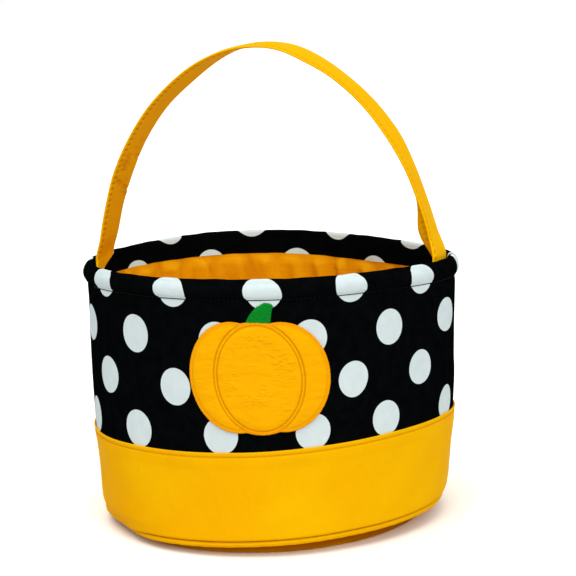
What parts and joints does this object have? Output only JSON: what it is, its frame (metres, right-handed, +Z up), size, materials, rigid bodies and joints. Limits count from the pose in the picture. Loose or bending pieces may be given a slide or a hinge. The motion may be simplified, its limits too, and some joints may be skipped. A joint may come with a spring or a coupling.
{
  "type": "pumpkin candy pail",
  "caption": "Round sewn cloth pail with a rolled rim, a dotted wall over a plain band, a pumpkin applique on the front, a plain lining and a swinging strap handle.",
  "frame": {"origin": "on the floor under the middle of the base", "axes": "+Z up along the pail's axis, -Y the front with the applique, +X to the right as seen from the front"},
  "size_m": [0.245, 0.245, 0.3207],
  "materials": {
    "dotted_cloth": "black cloth with a soft sheen, printed with white dots",
    "band_cloth": "orange coated cloth with a soft sheen",
    "lining_cloth": "orange woven lining, matt",
    "strap_cloth": "orange woven cloth, matt, edge-stitched",
    "pumpkin_cloth": "orange felted cloth, matt",
    "orange_thread": "orange satin stitch, slight sheen",
    "green_thread": "green filled embroidery, slight sheen",
    "foam": "open-cell foam, off-white, hidden",
    "cord": "soft cotton cord, hidden",
    "tape": "woven stiffening tape, hidden",
    "boning": "white polypropylene strip, hidden",
    "board": "grey board, hidden"
  },
  "bodies": {
    "pail": {"upper_panel": "dotted_cloth", "lower_band": "band_cloth", "wall_foam": "foam", "lining_wall": "lining_cloth", "lining_base": "lining_cloth", "rim_padding": "foam", "rim_boning": "boning", "base_panel": "band_cloth", "base_foam": "foam", "base_board": "board", "piping_cord": "cord", "piping_cover": "band_cloth", "strap_end_left": "strap_cloth", "strap_end_right": "strap_cloth", "pumpkin_patch": "pumpkin_cloth", "pumpkin_outline": "orange_thread", "pumpkin_stem": "green_thread"},
    "handle": {"handle_strap": "strap_cloth", "handle_core": "tape"}
  },
  "joints": [
    {"name": "handle_swing", "type": "hinge", "parent": "pail", "child": "handle", "pos_m": [0, 0, 0.19], "axis": [0.9962, -0.0872, 0], "range_deg": [-80, 80]}
  ]
}
